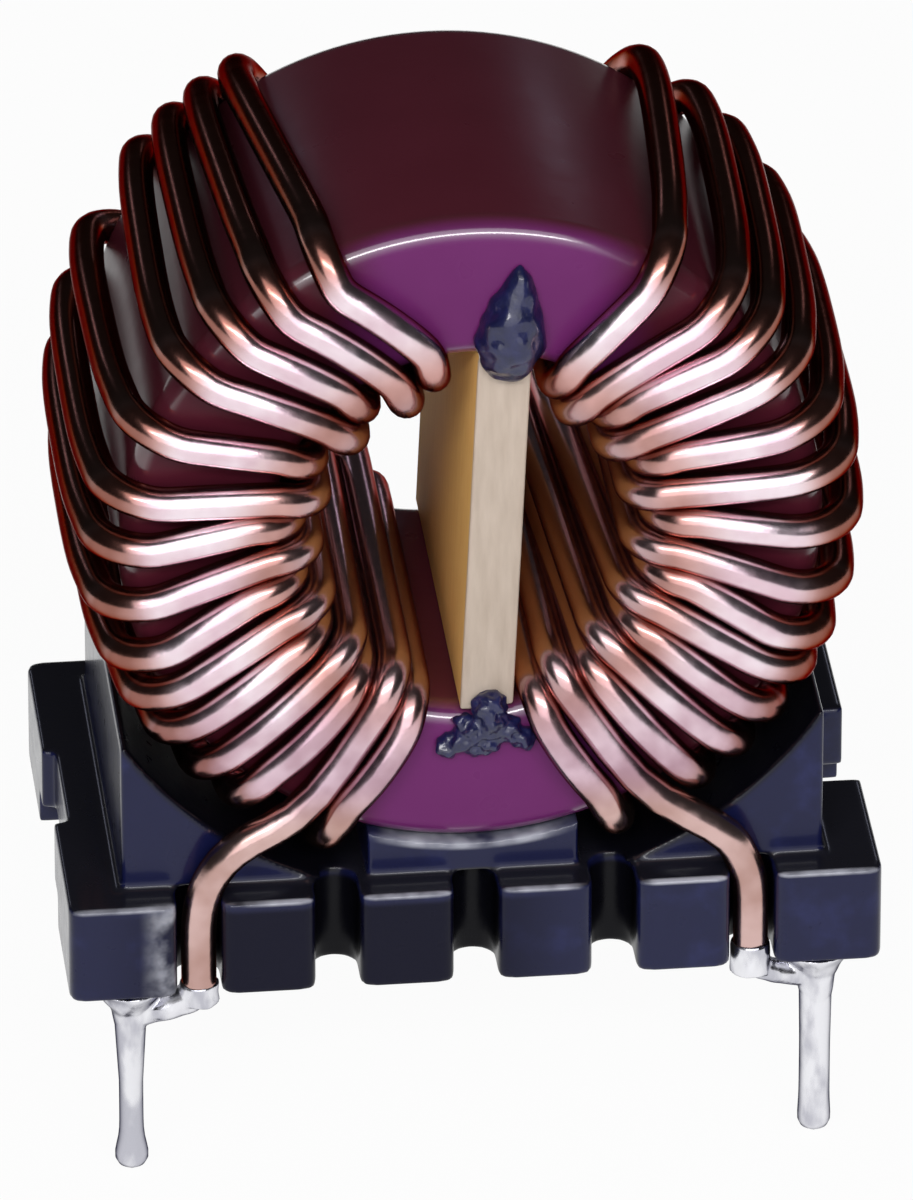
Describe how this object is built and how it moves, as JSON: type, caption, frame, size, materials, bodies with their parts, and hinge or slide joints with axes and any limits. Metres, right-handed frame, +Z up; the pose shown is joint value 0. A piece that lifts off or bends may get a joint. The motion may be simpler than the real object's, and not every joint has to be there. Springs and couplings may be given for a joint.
{
  "type": "toroidal inductor",
  "caption": "Two-winding toroidal choke: a coated ring core stands on edge in a slotted moulded header with solder pins, its copper windings kept apart by an insulating board.",
  "frame": {"origin": "centre of the pin pattern, on the plane of the pin tips", "axes": "+X along the header's long side to the right of the front, +Y from front to rear along the core's axis, +Z up"},
  "size_m": [0.024, 0.0158, 0.0314],
  "materials": {
    "header_plastic": "moulded black thermoset, slightly glossy on its edges",
    "core_coating": "smooth purple-maroon coating over the ring core",
    "copper_wire": "clear enamelled copper",
    "board": "tan insulating board",
    "glue": "cured dark blue-black glue",
    "tinned_pin": "tin-dipped pin",
    "solder": "bright solder"
  },
  "bodies": {
    "root": {"base": "header_plastic", "toroid_core": "core_coating", "left_winding": "copper_wire", "right_winding": "copper_wire", "divider": "board", "top_glue": "glue", "bottom_glue": "glue", "front_left_pin": "tinned_pin", "front_right_pin": "tinned_pin", "rear_left_pin": "tinned_pin", "rear_right_pin": "tinned_pin", "front_left_solder": "solder", "front_right_solder": "solder", "rear_left_solder": "solder", "rear_right_solder": "solder"}
  },
  "joints": []
}
